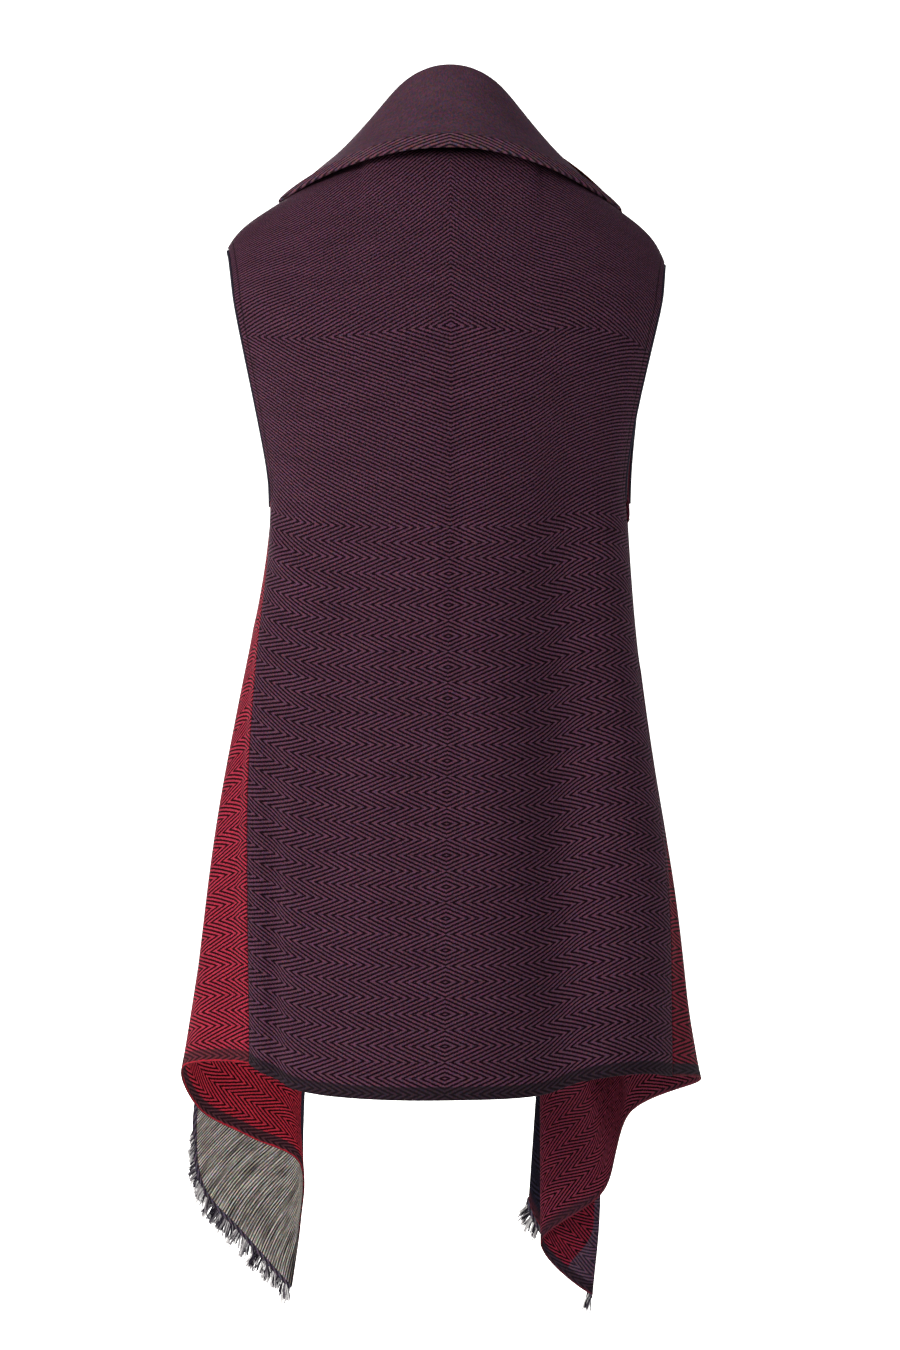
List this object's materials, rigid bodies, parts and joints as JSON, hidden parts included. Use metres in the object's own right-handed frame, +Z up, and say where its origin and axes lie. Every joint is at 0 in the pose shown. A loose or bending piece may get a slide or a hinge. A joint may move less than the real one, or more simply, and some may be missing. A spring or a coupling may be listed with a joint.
{
  "type": "cape",
  "caption": "Sleeveless wool cape in herringbone cloth with a folded shawl collar, armhole slits and long fringed fronts turned back as lapels.",
  "frame": {"origin": "middle of the neck opening, level with the nape, where the wearer's shoulders carry the cape", "axes": "+X to the wearer's right, +Y to the wearer's front, +Z up"},
  "size_m": [0.5622, 0.3791, 1.3392],
  "materials": {
    "plum_cloth": "woven wool",
    "red_cloth": "woven wool",
    "binding": "woven tape",
    "fringe": "loose yarn"
  },
  "bodies": {
    "root": {"back": "plum_cloth", "front_left": "red_cloth", "front_right": "red_cloth", "collar": "plum_cloth", "binding_left": "binding", "binding_right": "binding", "fringe_left": "fringe", "fringe_right": "fringe"}
  },
  "joints": []
}
